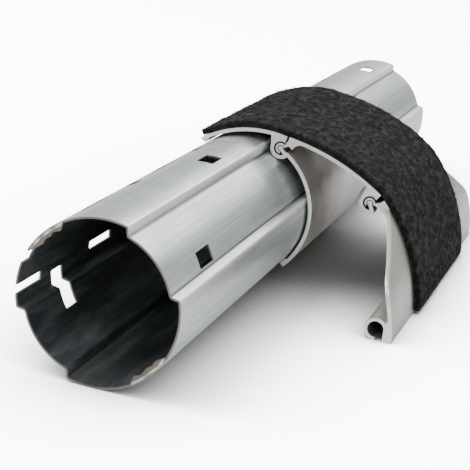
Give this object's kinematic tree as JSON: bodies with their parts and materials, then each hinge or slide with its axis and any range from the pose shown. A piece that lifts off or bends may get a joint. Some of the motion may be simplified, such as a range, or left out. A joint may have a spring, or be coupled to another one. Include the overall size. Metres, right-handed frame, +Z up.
{
  "type": "roller shutter winding tube with locking link",
  "caption": "Stepped, punched steel winding tube with an articulated aluminium locking link hooked together across it, felt faced, with a slat channel at its foot.",
  "frame": {"origin": "middle of the underside of the bounding box, on the floor that the tube and the link's foot rest on", "axes": "+Y runs along the tube, +X points from the tube towards the link's foot, +Z is up"},
  "size_m": [0.1184, 0.42, 0.0699],
  "materials": {
    "galvanised_steel": "bright galvanised sheet with faint lengthwise streaks",
    "mill_aluminium": "mill-finish extrusion with sawn ends",
    "charcoal_felt": "dense needled felt"
  },
  "bodies": {
    "tube": {"roller_tube": "galvanised_steel", "ring_link": "mill_aluminium", "felt_ring": "charcoal_felt"},
    "middle": {"middle_link": "mill_aluminium", "felt_middle": "charcoal_felt"},
    "end": {"end_link": "mill_aluminium", "felt_end": "charcoal_felt"}
  },
  "joints": [
    {"name": "ring_hinge", "type": "hinge", "parent": "tube", "child": "middle", "pos_m": [-0.01274, 0, 0.06014], "axis": [0, 1, 0], "range_deg": [-8, 30]},
    {"name": "middle_hinge", "type": "hinge", "parent": "middle", "child": "end", "pos_m": [0.02983, 0, 0.04442], "axis": [0, 1, 0], "range_deg": [-26, 22]}
  ]
}
